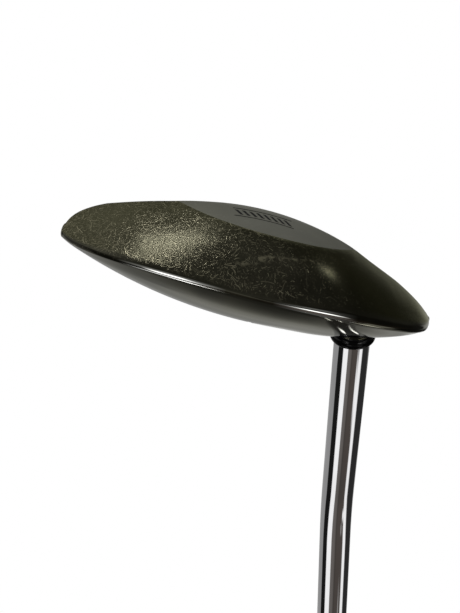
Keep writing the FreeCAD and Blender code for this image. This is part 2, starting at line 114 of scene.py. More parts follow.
def patch_back(x):
    """How far the sole patch reaches back. Past its tips the belly starts a little ahead of the face."""
    ahead = abs(x) / (PATCH_TOE if x < 0 else PATCH_HEEL)
    if ahead < 1:
        return PATCH_DEPTH * (1 - PATCH_ROUND * ahead**2 - (1 - PATCH_ROUND) * ahead**4)
    steepness = PATCH_DEPTH * (4 - 2 * PATCH_ROUND)
    return -steepness * PATCH_FADE * (1 - math.exp(-(ahead - 1) / PATCH_FADE))


def corner_line(x):
    """How far back from the face plane the plan's rounded corner is."""
    tip = TIP_SHARE * (TOE_LENGTH if x < 0 else HEEL_LENGTH)
    past = min(max(abs(x) - (tip - CORNER_RADIUS), 0), CORNER_RADIUS)
    return CORNER_RADIUS - math.sqrt(CORNER_RADIUS**2 - past**2)


def face_line(x, z):
    """How far back the lofted face or the rounded corner is at this height."""
    return max(corner_line(x), z * math.tan(LOFT))


def swing(centre, start, end, steps):
    """Points along the short arc from start towards end, without its end."""
    radius = math.dist(centre, start)
    first = math.atan2(start[1] - centre[1], start[0] - centre[0])
    last = math.atan2(end[1] - centre[1], end[0] - centre[0])
    turn = (last - first + math.pi) % math.tau - math.pi
    angles = [first + turn * step / steps for step in range(steps)]
    return [(centre[0] + radius * math.cos(angle), centre[1] + radius * math.sin(angle)) for angle in angles]


def stretch(start, end, steps):
    """Points along the straight line from start towards end, without its end."""
    return [(start[0] + (end[0] - start[0]) * step / steps, start[1] + (end[1] - start[1]) * step / steps)
            for step in range(steps)]


def rim_arc(belly, belly_radius, crown_low, rim, rim_radius):
    """Centre and ends of the rim's arc, which touches the belly's and the crown's circles from inside."""
    first, second = belly_radius - rim_radius, CROWN_PROFILE_RADIUS - rim_radius
    gap = math.dist(belly, (0, crown_low))
    along = (first**2 - second**2 + gap**2) / (2 * gap)
    across = math.sqrt(max(first**2 - along**2, 0))
    way_y, way_z = -belly[0] / gap, (crown_low - belly[1]) / gap
    sides = [(belly[0] + along * way_y + side * across * way_z,
              belly[1] + along * way_z - side * across * way_y) for side in (1, -1)]
    centre = min(sides, key=lambda side: math.dist(side, rim))
    to_belly = math.dist(belly, centre)
    belly_end = tuple(b + belly_radius * (c - b) / to_belly for b, c in zip(belly, centre))
    to_crown = math.dist((0, crown_low), centre)
    crown_end = (CROWN_PROFILE_RADIUS * centre[0] / to_crown,
                 crown_low + CROWN_PROFILE_RADIUS * (centre[1] - crown_low) / to_crown)
    return centre, belly_end, crown_end


def head_ring(x):
    """One cross-section of the head, round from the face's lower edge by the sole, the rim and the crown."""
    share = abs(x) / (TOE_LENGTH if x < 0 else HEEL_LENGTH)
    back = HEAD_DEPTH * (1 - share**PLAN_POWER) ** (1 / PLAN_POWER)
    patch = patch_back(x)
    crown_low = crown_edge(x) - CROWN_PROFILE_RADIUS
    rim = (back, crown_low + math.sqrt(CROWN_PROFILE_RADIUS**2 - back**2))
    start = (patch, lower_edge(x) + min(patch, 0) * math.tan(BELLY_START))

    chord_angle = math.atan2(rim[1] - start[1], rim[0] - start[0])
    turn = max(chord_angle - BELLY_START, BELLY_LEAST)
    belly_radius = math.dist(start, rim) / (2 * math.sin(turn))
    slope = chord_angle - turn
    belly = (start[0] - belly_radius * math.sin(slope), start[1] + belly_radius * math.cos(slope))

    rim_radius = TOE_RIM_RADIUS + (HEEL_RIM_RADIUS - TOE_RIM_RADIUS) * eased(x, *RIM_CHANGE)
    rim_radius *= 1 - RIM_TAPER * share**2
    centre, belly_end, crown_end = rim_arc(belly, belly_radius, crown_low, rim, rim_radius)

    # The face leans, so a few rounds find where the belly and the crown meet it.
    low_front = (face_line(x, start[1]), start[1])
    if patch < low_front[0]:
        for _ in range(FIT_ROUNDS):
            height = belly[1] - math.sqrt(belly_radius**2 - (low_front[0] - belly[0]) ** 2)
            low_front = (face_line(x, height), height)
        start = low_front
    top_front = (0, crown_edge(x))
    for _ in range(FIT_ROUNDS):
        depth = face_line(x, top_front[1])
        top_front = (depth, crown_low + math.sqrt(CROWN_PROFILE_RADIUS**2 - depth**2))
    face = [(face_line(x, z), z) for _, z in stretch(top_front, low_front, FACE_STEPS)]
    return (stretch(low_front, start, PATCH_STEPS) + swing(belly, start, belly_end, BELLY_STEPS)
            + swing(centre, belly_end, crown_end, RIM_STEPS)
            + swing((0, crown_low), crown_end, top_front, CROWN_STEPS) + face)


def shrunk(ring, share):
    """A cross-section drawn in towards its middle, which rounds off the head's tips."""
    middle = [sum(values) / len(ring) for values in zip(*ring)]
    return [tuple(m + share * (value - m) for m, value in zip(middle, point)) for point in ring]


# The belly's polish reaches this far along the head, and fades towards the patch, the rim and the tips.
POLISH_REACH = 6.0
FADE_AT_PATCH = 0.3
FADE_AT_RIM = 0.25
FADE_AT_TIP = 12
BELLY_FULLNESS = ((-48.0, -14.0, 1.1), (8.0, 48.0, 0.5))
BELLY_TOP = 0.45
LOW_BOW = 0.75
SWELL_MIDDLE = (26.5, 16.0)
SWELL_REACH = 15.0
SWELL_HEIGHT = 0.65
CROWN_FULLNESS = 0.3
FULL_AFTER_RIM = 6
FULL_BEFORE_FACE = 10
SIGHT_WIDTH = 1.6
SIGHT_DEPTH = 0.6
SIGHT_FRONT = 6.0
SIGHT_LENGTH = 17.0
FACING_UP = 0.5

# The cross-sections stand this far apart, closer at the tips. Each tip ends in a rounded cap, given by how
# far in from the tip each of its sections stands and how large that section is.
STATION_GAP = 0.8
LEAST_SHARE_OF_GAP = 0.4
TIP_INSET = 0.35
TIP_STEPS = (0, 0.15, 0.4)
TOE_CAP = ((-0.25, 0.25), (-0.20, 0.45), (-0.09, 0.66), (0.05, 0.84), (0.19, 0.95))
HEEL_CAP = ((-0.08, 0.30), (-0.05, 0.50), (0.0, 0.68), (0.08, 0.84), (0.18, 0.95))
toe_tip, heel_tip = -TIP_SHARE * TOE_LENGTH, TIP_SHARE * HEEL_LENGTH
toe_end, heel_end = toe_tip + TIP_INSET, heel_tip - TIP_INSET
places = {-PATCH_TOE, PATCH_HEEL, -SIGHT_WIDTH / 2, SIGHT_WIDTH / 2}
places |= {toe_end + step for step in TIP_STEPS} | {heel_end - step for step in TIP_STEPS}
for step in range(1, int((heel_end - toe_end) / STATION_GAP)):
    x = toe_end + step * STATION_GAP
    if min(abs(x - place) for place in places) > STATION_GAP * LEAST_SHARE_OF_GAP:
        places.add(x)
stations = [(toe_tip + out, toe_end, share) for out, share in TOE_CAP]
stations += [(x, x, 1) for x in sorted(places)]
stations += [(heel_tip - out, heel_end, share) for out, share in reversed(HEEL_CAP)]


def face_out(mesh):
    """Turns all faces of a closed shape outward."""
    bmesh.ops.recalc_face_normals(mesh, faces=mesh.faces)
    if mesh.calc_volume(signed=True) < 0:
        bmesh.ops.reverse_faces(mesh, faces=mesh.faces)


def rolled(rings, sides, spot):
    """A grid rolled up into a tube-like skin: spot(ring, side) gives each of its corners a place."""
    mesh = bmesh.new()
    side_layer = mesh.verts.layers.int.new("side")
    grid = bmesh.ops.create_grid(mesh, x_segments=sides, y_segments=rings - 1, size=0.5)["verts"]
    for vert in grid:
        ring, side = round((vert.co.y + 0.5) * (rings - 1)), round((vert.co.x + 0.5) * sides) % sides
        vert.co = spot(ring, side)
        vert[side_layer] = side
    bmesh.ops.remove_doubles(mesh, verts=mesh.verts, dist=0.002 * MM)
    bmesh.ops.holes_fill(mesh, edges=[edge for edge in mesh.edges if edge.is_boundary], sides=0)
    face_out(mesh)
    return mesh


sharp_sections = [head_ring(x) for _, x, _ in stations]


def fullness(x):
    """How much fuller the belly is at this place along the head than the plain arcs make it."""
    full = 0
    for start, end, most in BELLY_FULLNESS:
        full += most * math.sin(math.pi * min(max((x - start) / (end - start), 0), 1)) ** 2
    return full


def hand_finished(number):
    """One section after polishing: its belly is evened out with its neighbours and fuller at both ends."""
    ring = list(sharp_sections[number])
    _, x, share = stations[number]
    full = fullness(x)
    near = [(math.exp(-((other[1] - x) / POLISH_REACH) ** 2), sharp_sections[index])
            for index, other in enumerate(stations) if abs(other[1] - x) < 2 * POLISH_REACH and other[2] == 1]
    total = sum(weight for weight, _ in near)
    for side in range(FIRST_BELLY + 1, FIRST_RIM):
        way = (side - FIRST_BELLY) / BELLY_STEPS
        even = [sum(weight * other[side][axis] for weight, other in near) / total for axis in (0, 1)]
        amount = (eased(way, 0, FADE_AT_PATCH) * eased(1 - way, 0, FADE_AT_RIM)
                  * eased(min(x - toe_end, heel_end - x), 0, FADE_AT_TIP))
        ring[side] = tuple(value + amount * (smooth - value) for value, smooth in zip(ring[side], even))
    for side, (y, z) in enumerate(ring):
        way = max(side - FIRST_BELLY, 0) / BELLY_STEPS
        if side < FIRST_RIM:
            above = (way - BELLY_TOP) / (1 - BELLY_TOP)
            bow = above if above > 0 else (BELLY_TOP - way) / BELLY_TOP * LOW_BOW
            ring[side] = (y, z - full * (1 - bow**2))
        elif side > FIRST_FACE:
            ring[side] = (y, z - full * (1 - LOW_BOW**2) * (side - FIRST_FACE) / FACE_STEPS)
    return shrunk(ring, share)


sections = [hand_finished(number) for number in range(len(stations))]


def head_spot(ring, side):
    """A corner of the head's skin; the crown swells a little round the shaft."""
    x, (y, z) = stations[ring][0], sections[ring][side]
    if side > FIRST_CROWN:
        away = math.dist((x, y), SWELL_MIDDLE) / SWELL_REACH
        domed = SWELL_HEIGHT * math.exp(-away**4)
        domed += CROWN_FULLNESS * eased(FIRST_FACE - side, 0, FULL_BEFORE_FACE)
        z += domed * eased(side, FIRST_CROWN, FIRST_CROWN + FULL_AFTER_RIM)
    return Vector((x, y + GROUND_BACK, z)) * MM


head_mesh = rolled(len(stations), FIRST_FACE + FACE_STEPS, head_spot)

# Two marks on the skin guide its finish: the edges that wear bare, where the rim's highlight streaks are also
# painted, and the crown above the rim.
wear_and_highlight_of = head_mesh.verts.layers.float.new("edge_wear_and_highlight")
crown_of = head_mesh.verts.layers.float.new("crown_side")
side_of = head_mesh.verts.layers.int["side"]
for vert in head_mesh.verts:
    rim = FIRST_RIM + 1 < vert[side_of] < FIRST_CROWN
    vert[wear_and_highlight_of] = 1.0 if rim or vert[side_of] in (0, FIRST_FACE) else 0.0
    vert[crown_of] = eased(vert[side_of], FIRST_RIM - 4, FIRST_RIM + 2)

# The sole patch is a material of its own, with a crisp border.
for face in head_mesh.faces:
    middle = face.calc_center_median().x / MM
    if max(vert[side_of] for vert in face.verts) <= FIRST_BELLY and -PATCH_TOE < middle < PATCH_HEEL:
        face.material_index = 1

# The face's edges are broken a little, as on any milled head.
FACE_BREAK = 0.35
FACE_EDGE_TURN = 0.5
outer_edges = [edge for edge in head_mesh.edges
               if {vert[side_of] for vert in edge.verts} in ({0}, {FIRST_FACE})
               and edge.calc_face_angle(0) > FACE_EDGE_TURN
               and toe_end < min(vert.co.x for vert in edge.verts) / MM
               and max(vert.co.x for vert in edge.verts) / MM < heel_end]
bmesh.ops.bevel(head_mesh, geom=outer_edges, offset=FACE_BREAK * MM, segments=3, profile=0.5, affect="EDGES",
                material=-1, clamp_overlap=True)


def over_groove(face):
    """Whether a face is on the crown, between the sides of the sight line."""
    return abs(face.calc_center_median().x) < SIGHT_WIDTH / 2 * MM and face.normal.z > FACING_UP


# The sight line is a shallow groove, cut into the crown behind the face.
for depth in (SIGHT_FRONT, SIGHT_FRONT + SIGHT_LENGTH):
    top = {face for face in head_mesh.faces if over_groove(face)}
    near = top | {edge for face in top for edge in face.edges} | {vert for face in top for vert in face.verts}
    bmesh.ops.bisect_plane(head_mesh, geom=list(near), dist=1e-7,
                           plane_co=(0, (depth + GROUND_BACK) * MM, 0), plane_no=(0, 1, 0))
groove = [face for face in head_mesh.faces if over_groove(face)
          and SIGHT_FRONT < face.calc_center_median().y / MM - GROUND_BACK < SIGHT_FRONT + SIGHT_LENGTH]
sunk = bmesh.ops.extrude_face_region(head_mesh, geom=groove)["geom"]
bmesh.ops.delete(head_mesh, geom=groove, context="FACES")
bmesh.ops.translate(head_mesh, vec=(0, 0, -SIGHT_DEPTH * MM),
                    verts=[item for item in sunk if isinstance(item, bmesh.types.BMVert)])
face_out(head_mesh)


def shaded(mesh, crease):
    """Smooth shading, kept sharp where the surface turns by more than the crease, in degrees."""
    for face in mesh.faces:
        face.smooth = True
    for edge in mesh.edges:
        edge.smooth = edge.calc_face_angle(0) < math.radians(crease)


shaded(head_mesh, crease=32)
for edge in head_mesh.edges:
    if len({face.material_index for face in edge.link_faces}) > 1:
        edge.smooth = False


def finished(name, mesh, *materials):
    """A new object of the scene at the origin, made of a bmesh and its materials."""
    data = bpy.data.meshes.new(name)
    mesh.to_mesh(data)
    mesh.free()
    piece = bpy.data.objects.new(name, data)
    bpy.context.scene.collection.objects.link(piece)
    for material in materials:
        data.materials.append(material)
    return piece


# The shaft's frame: it leans towards the player, and its lower leg is bent back from the face.
LEAN = math.radians(17.2)
BEND = math.radians(10.9)
SHAFT_FOOT = Vector((21.4, 2.7 + GROUND_BACK, 0)) * MM
BEND_UP = 88.1 * MM
LEG_LENGTH = 66.9 * MM
shaft_frame = Matrix.Translation(SHAFT_FOOT) @ Matrix.Rotation(LEAN, 4, "Y")
leg_frame = shaft_frame @ Matrix.Translation((0, 0, BEND_UP)) @ Matrix.Rotation(BEND, 4, "X")
crown_seat = leg_frame @ Matrix.Translation((0, 0, -LEG_LENGTH))

# The hosel's bore is stepped: wide for the ferrule, then narrow for the shaft's tip.
BORE_DEPTH = 13.0 * MM
SEAT_DEPTH = 4.2 * MM
BORE_RADIUS = 4.9 * MM
SEAT_RADIUS = 6.05 * MM
TURNED_STEPS = 96
bore_outline = [(0, -BORE_DEPTH), (BORE_RADIUS, -BORE_DEPTH), (BORE_RADIUS, -SEAT_DEPTH),
                (SEAT_RADIUS, -SEAT_DEPTH), (SEAT_RADIUS, SEAT_DEPTH * 3), (0, SEAT_DEPTH * 3)]


def turned(outline):
    """A closed shape turned about the Z axis from an outline of radii and heights."""
    mesh = bmesh.new()
    verts = [mesh.verts.new((radius, 0, height)) for radius, height in outline]
    lines = [mesh.edges.new(pair) for pair in zip(verts, verts[1:])]
    bmesh.ops.spin(mesh, geom=verts + lines, cent=(0, 0, 0), axis=(0, 0, 1), angle=math.tau,
                   steps=TURNED_STEPS, use_merge=True)
    bmesh.ops.remove_doubles(mesh, verts=mesh.verts, dist=0.001 * MM)
    face_out(mesh)
    return mesh


drill = turned(bore_outline)
drill.transform(crown_seat)
drill_piece = finished("drill", drill)


def new_material(name):
    """A material whose node tree is ready, with its surface shader."""
    material = bpy.data.materials.new(name)
    material.use_nodes = True
    return material, material.node_tree, material.node_tree.nodes["Principled BSDF"]


def node(tree, kind, **settings):
    """A node with its inputs set by name, or by number as i0, i1; what is given as a socket is linked."""
    made = tree.nodes.new("ShaderNode" + kind)
    for name, value in settings.items():
        if hasattr(made, name):
            setattr(made, name, value)
            continue
        socket = made.inputs[int(name[1:])] if name[1:].isdigit() else made.inputs[name.replace("_", " ")]
        if isinstance(value, bpy.types.NodeSocket):
            tree.links.new(value, socket)
        else:
            socket.default_value = value
    return made


def maths(tree, operation, first, second=0.5, clamp=False):
    """The result of a sum on one or two numbers or sockets."""
    return node(tree, "Math", operation=operation, use_clamp=clamp, i0=first, i1=second).outputs[0]


def times(tree, first, second):
    """One factor times the other."""
    return maths(tree, "MULTIPLY", first, second)


def plus(tree, first, second):
    """One term plus the other."""
    return maths(tree, "ADD", first, second)


def ramp(tree, fac, low, high):
    """Stretches the range from low to high over 0 to 1 and clips the rest."""
    return node(tree, "MapRange", i0=fac, i1=low, i2=high).outputs[0]


def blend(tree, fac, first, second):
    """A mix of two colours."""
    return node(tree, "Mix", data_type="RGBA", i0=fac, i6=first, i7=second).outputs[2]


def toned(colour, factor):
    """A colour made darker or lighter by one factor."""
    return [factor * value for value in colour[:3]] + [1]


def grain(tree, scale, turn=0.0, stretch=(1, 1, 1), detail=2.0, rough=0.5, shift=(0, 0, 0)):
    """Noise in the object's own coordinates, turned about Z and stretched; scale counts per metre."""
    place = node(tree, "TexCoord").outputs["Object"]
    turned_place = node(tree, "Mapping", Vector=place, Rotation=(0, 0, turn), Location=shift).outputs[0]
    stretched = node(tree, "VectorMath", operation="MULTIPLY", i0=turned_place, i1=stretch).outputs[0]
    return node(tree, "TexNoise", Vector=stretched, Scale=scale, Detail=detail, Roughness=rough).outputs[0]


FULL_TURN = 6.28


def strokes(tree, cell, length, width, share, bend, shift):
    """Short scratches at all angles: one in each cell of a loose mosaic, share of the cells left in."""
    place = node(tree, "TexCoord").outputs["Object"]
    place = node(tree, "VectorMath", operation="MULTIPLY_ADD", i0=place, i1=(1 / cell,) * 3, i2=shift)
    waver = node(tree, "TexNoise", Vector=place.outputs[0], Scale=0.6, Detail=1.0).outputs["Color"]
    place = node(tree, "VectorMath", operation="MULTIPLY_ADD", i0=waver, i1=(bend,) * 3, i2=place.outputs[0])
    flat = node(tree, "VectorMath", operation="MULTIPLY", i0=place.outputs[0], i1=(1, 1, 0)).outputs[0]
    mosaic = node(tree, "TexVoronoi", voronoi_dimensions="2D", Vector=flat, Scale=1.0)
    chance = node(tree, "SeparateColor", Color=mosaic.outputs["Color"]).outputs
    local = node(tree, "VectorMath", operation="SUBTRACT", i0=flat, i1=mosaic.outputs["Position"]).outputs[0]
    turn = times(tree, chance[0], FULL_TURN)
    local = node(tree, "VectorRotate", rotation_type="Z_AXIS", Vector=local, Angle=turn).outputs[0]
    local = node(tree, "SeparateXYZ", Vector=local).outputs
    reach = times(tree, chance[1], length / cell)
    along = maths(tree, "SUBTRACT", reach, maths(tree, "ABSOLUTE", local[0]))
    stroke = ramp(tree, maths(tree, "ABSOLUTE", local[1]), width / cell, 0.3 * width / cell)
    stroke = times(tree, stroke, ramp(tree, along, 0.0, 0.1))
    return times(tree, stroke, ramp(tree, maths(tree, "SUBTRACT", share, chance[2]), 0.0, 0.4))


def spread(tree, value, low, high, soft):
    """One between low and high, falling off softly outside."""
    return times(tree, ramp(tree, value, low - soft, low + soft), ramp(tree, value, high + soft, high - soft))


# The scratches, from hairs to sweeps: the mosaic's cell, half the longest length and half the width, all in
# millimetres, then the share that is left in, the bend and the brightness.
SCRATCHES = (
    (0.45, 0.40, 0.08, 0.80, 0.4, 0.7),
    (0.85, 0.85, 0.10, 0.75, 0.7, 0.9),
    (1.6, 1.9, 0.11, 0.60, 0.8, 1.0),
    (2.8, 3.6, 0.11, 0.50, 0.6, 1.0),
    (6.0, 7.0, 0.11, 0.45, 0.7, 0.8))
# Bright bare steel for the rubbed rim, which also paints the rim's highlight streaks.
BARE_STEEL_HIGHLIGHT = (0.80, 0.80, 0.77, 1)

# Where the wear and the painted light lie, in metres: the scuff's direction, its band and its stretch along
# the head, then what is toe, what is heel and darkened there as painted shade, chipped rim, and rim rubbed
# bare and brightened there as a painted highlight. A band or stretch is its start, its end and its soft edge.
SCUFF_WAY = (0.33, 0.94, 0)
SCUFF_BAND = (0.0191, 0.0199, 0.0005)
SCUFF_STRETCH = (-0.010, 0.011, 0.002)
TOE_SIDE = (0.022, -0.022)
HEEL_SHADE_SPAN = (0.010, 0.024)
CHIPPED = (-0.018, -0.032)
RUBBED_AND_HIGHLIGHT = ((-0.031, -0.016, 0.005), (0.004, 0.017, 0.004))


def scratched(tree, place, across, toe_side):
    """The marks of play: a long scuff along the patch's edge, and scratches that thicken towards the toe."""
    track = node(tree, "VectorMath", operation="DOT_PRODUCT", i0=place, i1=SCUFF_WAY).outputs["Value"]
    track = plus(tree, track, times(tree, grain(tree, 220, detail=2, shift=(4, 4, 4)), 0.004))
    scuff = spread(tree, track, *SCUFF_BAND)
    scuff = times(tree, scuff, spread(tree, across, *SCUFF_STRETCH))
    scuff = times(tree, scuff, ramp(tree, grain(tree, 900, detail=2, shift=(5, 1, 1)), 0.45, 0.6))
    marks = times(tree, scuff, 0.75)
    patches = ramp(tree, grain(tree, 130, detail=3, shift=(3, 1, 2)), 0.34, 0.66)
    dense = plus(tree, times(tree, patches, 0.6), 0.55)
    dense = plus(tree, times(tree, dense, toe_side), 0.15)
    for number, (cell, length, width, share, bend, bright) in enumerate(SCRATCHES):
        layer = strokes(tree, cell * MM, length * MM, width * MM, times(tree, dense, share), bend,
                        (3.3 * number, 1.7 * number, 0))
        marks = maths(tree, "MAXIMUM", marks, times(tree, layer, bright))
    return marks


def plated(name, dark, light, scratch, rough):
    """Dark plated steel: clouded colour darkened at the heel as painted shade, pale scratches on the belly,
    worn edges that partly paint highlights, and a smooth crown.
    """
    material, tree, shader = new_material(name)
    place = node(tree, "TexCoord").outputs["Object"]
    across = node(tree, "SeparateXYZ", Vector=place).outputs[0]
    crown = node(tree, "Attribute", attribute_name="crown_side").outputs["Fac"]
    edge = node(tree, "Attribute", attribute_name="edge_wear_and_highlight").outputs["Fac"]
    sole = maths(tree, "SUBTRACT", 1.0, crown)
    toe_side = times(tree, sole, ramp(tree, across, *TOE_SIDE))
    # Below, the heel side's colour is darkened as painted shade.
    heel_shade = times(tree, sole, ramp(tree, across, *HEEL_SHADE_SPAN))

    # The plating itself is clouded and mottled towards the toe. Towards the heel its colour is darkened, a
    # painted shade standing for the heel side's dark reflections.
    clouds = ramp(tree, grain(tree, 70, detail=4, rough=0.6), 0.35, 0.65)
    mottle = ramp(tree, grain(tree, 2100, detail=3, rough=0.7, shift=(2, 2, 2)), 0.40, 0.66)
    colour = blend(tree, clouds, dark, light)
    colour = blend(tree, times(tree, mottle, toe_side), colour, toned(light, 1.5))
    colour = blend(tree, times(tree, heel_shade, 0.55), colour, toned(dark, 0.5))

    # The rim is chipped near the toe, and two stretches of it are rubbed to bright bare steel. They lie where
    # the rim catches its highlight streaks, so they are partly wear and partly a painted highlight.
    marks = times(tree, scratched(tree, place, across, toe_side), sole)
    chips = ramp(tree, grain(tree, 1400, detail=3, shift=(7, 2, 1)), 0.60, 0.70)
    chips = times(tree, times(tree, edge, chips), ramp(tree, across, *CHIPPED))
    marks = maths(tree, "MAXIMUM", marks, times(tree, chips, 0.35), clamp=True)
    rubbed_and_highlight = maths(tree, "MAXIMUM", *(spread(tree, across, *part) for part in RUBBED_AND_HIGHLIGHT))
    rubbed_and_highlight = times(tree, rubbed_and_highlight, edge)
    colour = blend(tree, marks, colour, scratch)
    tree.links.new(blend(tree, rubbed_and_highlight, colour, BARE_STEEL_HIGHLIGHT), shader.inputs["Base Color"])
    shader.inputs["Metallic"].default_value = 1.0
    tint = blend(tree, crown, (0.80, 0.80, 0.62, 1), (0.97, 0.97, 0.93, 1))
    tree.links.new(tint, shader.inputs["Specular Tint"])

    # The belly is dull and smudged, with a fine tooth that the scratches cut through.
    smudge = ramp(tree, grain(tree, 45, detail=5, rough=0.65, shift=(9, 4, 2)), 0.3, 0.7)
    roughness = plus(tree, times(tree, smudge, 0.06), rough)
    roughness = plus(tree, roughness, times(tree, marks, 0.10))
    roughness = blend(tree, maths(tree, "MAXIMUM", crown, rubbed_and_highlight), roughness, (0.06, 0.06, 0.06, 1))
    tree.links.new(roughness, shader.inputs["Roughness"])
    tooth = times(tree, grain(tree, 2600, detail=2, rough=0.6), plus(tree, toe_side, 0.12))
    height = times(tree, maths(tree, "SUBTRACT", tooth, times(tree, marks, 0.45)), sole)
    bump = node(tree, "Bump", Strength=0.8, Distance=0.00006, Height=height)
    tree.links.new(bump.outputs[0], shader.inputs["Normal"])
    return material


belly_steel = plated("belly_steel", dark=(0.050, 0.048, 0.036, 1), light=(0.095, 0.091, 0.066, 1),
                     scratch=(0.60, 0.56, 0.40, 1), rough=0.165)


def satin_patch():
    """The sole patch: the same plating rubbed to an even satin grey, with a very fine grain and few marks."""
    material, tree, shader = new_material("sole_satin")
    haze = ramp(tree, grain(tree, 60, detail=3), 0.3, 0.7)
    colour = blend(tree, haze, (0.285, 0.285, 0.228, 1), (0.34, 0.34, 0.272, 1))
    nicks = ramp(tree, grain(tree, 4200, turn=0.6, stretch=(0.05, 1, 1), detail=0), 0.77, 0.83)
    tree.links.new(blend(tree, nicks, colour, (0.42, 0.42, 0.36, 1)), shader.inputs["Base Color"])
    shader.inputs["Metallic"].default_value = 1.0
    fine = grain(tree, 5200, detail=2)
    tree.links.new(plus(tree, times(tree, fine, 0.12), 0.42), shader.inputs["Roughness"])
    bump = node(tree, "Bump", Strength=0.10, Distance=0.00004, Height=fine)
    tree.links.new(bump.outputs[0], shader.inputs["Normal"])
    return material


sole_satin = satin_patch()
head = finished("putter_head", head_mesh, belly_steel, sole_satin)

# The bore is drilled through the finished skin.
drilling = head.modifiers.new("bore", "BOOLEAN")
drilling.operation = "DIFFERENCE"
drilling.solver = "EXACT"
drilling.object = drill_piece
bpy.context.view_layer.update()
drilled = bpy.data.meshes.new_from_object(head.evaluated_get(bpy.context.evaluated_depsgraph_get()))
head.modifiers.clear()
head.data = drilled
bpy.data.objects.remove(drill_piece)
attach(head, "root")
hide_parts("head_body")


# Milled dashes, filled with black enamel, mark the middle of the sole patch. They are slanted strips between
# two thin rules, a plain ornament, and follow the camber of the sole.

ENAMEL_MIDDLE = (-2.0, 6.4)
RULE_LENGTH = 15.6
RULE_WIDTH = 0.5
RULE_APART = 5.8
DASH_COUNT = 8
DASH_WIDTH = 0.85
DASH_HEIGHT = 3.4
DASH_SLANT = 1.3
ENAMEL_PROUD = 0.012
ENAMEL_THICKNESS = 0.05
RULE_STEPS = 24
DASH_STEPS = 3
enamel_mesh = bmesh.new()


def enamel_strip(corners, steps):
    """A thin strip that lies on the cambered sole: a grid between four corners."""
    for vert in bmesh.ops.create_grid(enamel_mesh, x_segments=steps, y_segments=2, size=0.5)["verts"]:
        across, along = vert.co.x + 0.5, vert.co.y + 0.5
        low = [a + (b - a) * across for a, b in zip(corners[0], corners[1])]
        high = [a + (b - a) * across for a, b in zip(corners[3], corners[2])]
        x, y = (a + (b - a) * along for a, b in zip(low, high))
        vert.co = Vector((x, y + GROUND_BACK, sole_height(x) - ENAMEL_PROUD)) * MM


def slanted(x, y, width, height, slant):
    """The corners of a bar about a middle, its upper end moved over by the slant."""
    return [(x + (side * width + end * slant) / 2, y + end * height / 2)
            for side, end in ((-1, -1), (1, -1), (1, 1), (-1, 1))]


middle_x, middle_y = ENAMEL_MIDDLE
for side in (-1, 1):
    enamel_strip(slanted(middle_x, middle_y + side * RULE_APART / 2, RULE_LENGTH, RULE_WIDTH, 0),
                 RULE_STEPS)
for dash in range(DASH_COUNT):
    x = middle_x + (dash - (DASH_COUNT - 1) / 2) * RULE_LENGTH / (DASH_COUNT + 0.5)
    enamel_strip(slanted(x, middle_y, DASH_WIDTH, DASH_HEIGHT, DASH_SLANT), DASH_STEPS)
bmesh.ops.recalc_face_normals(enamel_mesh, faces=enamel_mesh.faces)
bmesh.ops.solidify(enamel_mesh, geom=list(enamel_mesh.faces), thickness=ENAMEL_THICKNESS * MM)
face_out(enamel_mesh)


def two_toned(tree, shader, pattern, first, second, rough, added):
    """A finish that goes from its first colour to its second with a pattern, and is rougher there."""
    tree.links.new(blend(tree, pattern, first, second), shader.inputs["Base Color"])
    tree.links.new(plus(tree, times(tree, pattern, added), rough), shader.inputs["Roughness"])


enamel, tree, shader = new_material("black_enamel")
chips = ramp(tree, grain(tree, 3800, detail=2), 0.62, 0.7)
two_toned(tree, shader, chips, (0.006, 0.005, 0.005, 1), (0.06, 0.058, 0.045, 1), rough=0.5, added=0.2)
shader.inputs["Specular IOR Level"].default_value = 0.05
sole_dashes = finished("sole_dashes", enamel_mesh, enamel)
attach(sole_dashes, "root")


# The sight line on the crown shows the player where the putter points. It is white paint, wiped into its
# groove and dried a little below the steel.

sight_white, tree, shader = new_material("sight_white")
grime = ramp(tree, grain(tree, 900, detail=4), 0.5, 0.75)
two_toned(tree, shader, grime, (0.80, 0.80, 0.76, 1), (0.55, 0.53, 0.46, 1), rough=0.45, added=0.2)


def coat(name, material):
    """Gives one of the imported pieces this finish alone."""
    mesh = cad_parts[name].data
    mesh.materials.clear()
    mesh.materials.append(material)


coat("sight_line_paint", sight_white)


# Cured adhesive holds the shaft in the head's bore. It is amber epoxy, spread on the shaft's tip before
# that is pushed home, and is hidden under the ferrule.

amber_epoxy, tree, shader = new_material("amber_epoxy")
bubbles = ramp(tree, grain(tree, 2200, detail=2), 0.55, 0.7)
two_toned(tree, shader, bubbles, (0.42, 0.33, 0.16, 1), (0.55, 0.47, 0.28, 1), rough=0.25, added=0.2)
coat("hosel_adhesive", amber_epoxy)


# The ferrule is a polished ring of black plastic with two rounded ridges, which hides the joint. It is
# turned, pushed down the shaft and glued into its seat.

FERRULE_RADIUS = 5.95
FERRULE_HOLE = 4.8
FERRULE_FOOT = -4.2
FERRULE_ABOVE = 1.5
TOP_SLOPE = 0.25
HOLE_BREAK = 0.08
RIDGE_OUT = 0.38
RIDGE_FOOT = -2.1
RIDGE_POWER = 0.75
RIDGE_STEPS = 12
ridge_height = (FERRULE_ABOVE - RIDGE_FOOT) / 2
valley = FERRULE_RADIUS - RIDGE_OUT
ring_outline = [(FERRULE_HOLE, FERRULE_FOOT), (valley, FERRULE_FOOT)]
for ridge in (0, 1):
    for step in range(1, RIDGE_STEPS):
        way_up = step / RIDGE_STEPS
        ring_outline.append((valley + RIDGE_OUT * math.sin(math.pi * way_up) ** RIDGE_POWER,
                             RIDGE_FOOT + ridge_height * (ridge + way_up)))
ring_outline += [(valley - TOP_SLOPE, FERRULE_ABOVE), (FERRULE_HOLE + HOLE_BREAK, FERRULE_ABOVE),
                 (FERRULE_HOLE, FERRULE_ABOVE - HOLE_BREAK), (FERRULE_HOLE, FERRULE_FOOT)]


